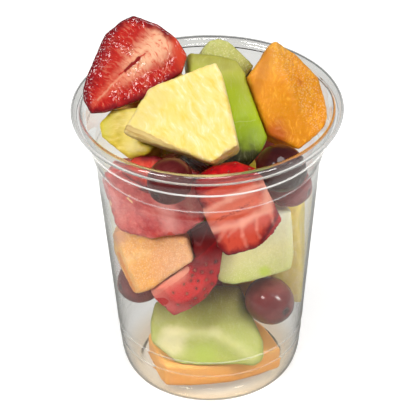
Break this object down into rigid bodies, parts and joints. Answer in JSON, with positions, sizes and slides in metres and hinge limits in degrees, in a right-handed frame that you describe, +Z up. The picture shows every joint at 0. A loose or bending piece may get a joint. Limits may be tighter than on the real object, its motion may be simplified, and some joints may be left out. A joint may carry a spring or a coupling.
{
  "type": "fruit cup",
  "caption": "Clear flared plastic cup heaped with fresh cut fruit: strawberry, pineapple, honeydew, cantaloupe and watermelon chunks with red grapes.",
  "frame": {"origin": "middle of the cup's foot ring, on the surface it stands on", "axes": "+Z up along the cup's axis; -Y is the front, with the large pineapple wedge and the upright strawberry piece; +X is to the right seen from the front"},
  "size_m": [0.0978, 0.0978, 0.1369],
  "materials": {
    "clear_plastic": "clear thin polished sheet",
    "strawberry": "wet red skin and paler cut flesh with radial streaks",
    "pineapple": "wet cut flesh with fibres",
    "honeydew": "wet smooth cut flesh, pale to bright green",
    "cantaloupe": "wet cut flesh, fine grained",
    "watermelon": "wet grainy cut flesh with small pale seed traces",
    "grape_skin": "glossy dark red skin with a stem scar"
  },
  "bodies": {
    "root": {"cup": "clear_plastic", "grape_front_left": "grape_skin", "grape_right_upper": "grape_skin", "grape_right_lower": "grape_skin", "grape_low_right": "grape_skin", "grape_low_left": "grape_skin", "strawberry_half_top": "strawberry", "pineapple_top": "pineapple", "strawberry_wedge_front": "strawberry", "cantaloupe_top": "cantaloupe", "honeydew_slice_top": "honeydew", "honeydew_back_top": "honeydew", "pineapple_left": "pineapple", "strawberry_slice_left": "strawberry", "watermelon_left": "watermelon", "honeydew_slab_right": "honeydew", "cantaloupe_left": "cantaloupe", "strawberry_low_front": "strawberry", "honeydew_bottom": "honeydew", "cantaloupe_floor": "cantaloupe", "pineapple_right": "pineapple", "watermelon_back_low": "watermelon", "cantaloupe_back_low": "cantaloupe", "honeydew_back_middle": "honeydew", "strawberry_back": "strawberry", "pineapple_back": "pineapple", "watermelon_back_right": "watermelon", "pineapple_middle": "pineapple", "cantaloupe_middle": "cantaloupe", "cantaloupe_back_left": "cantaloupe", "grape_back": "grape_skin"}
  },
  "joints": []
}
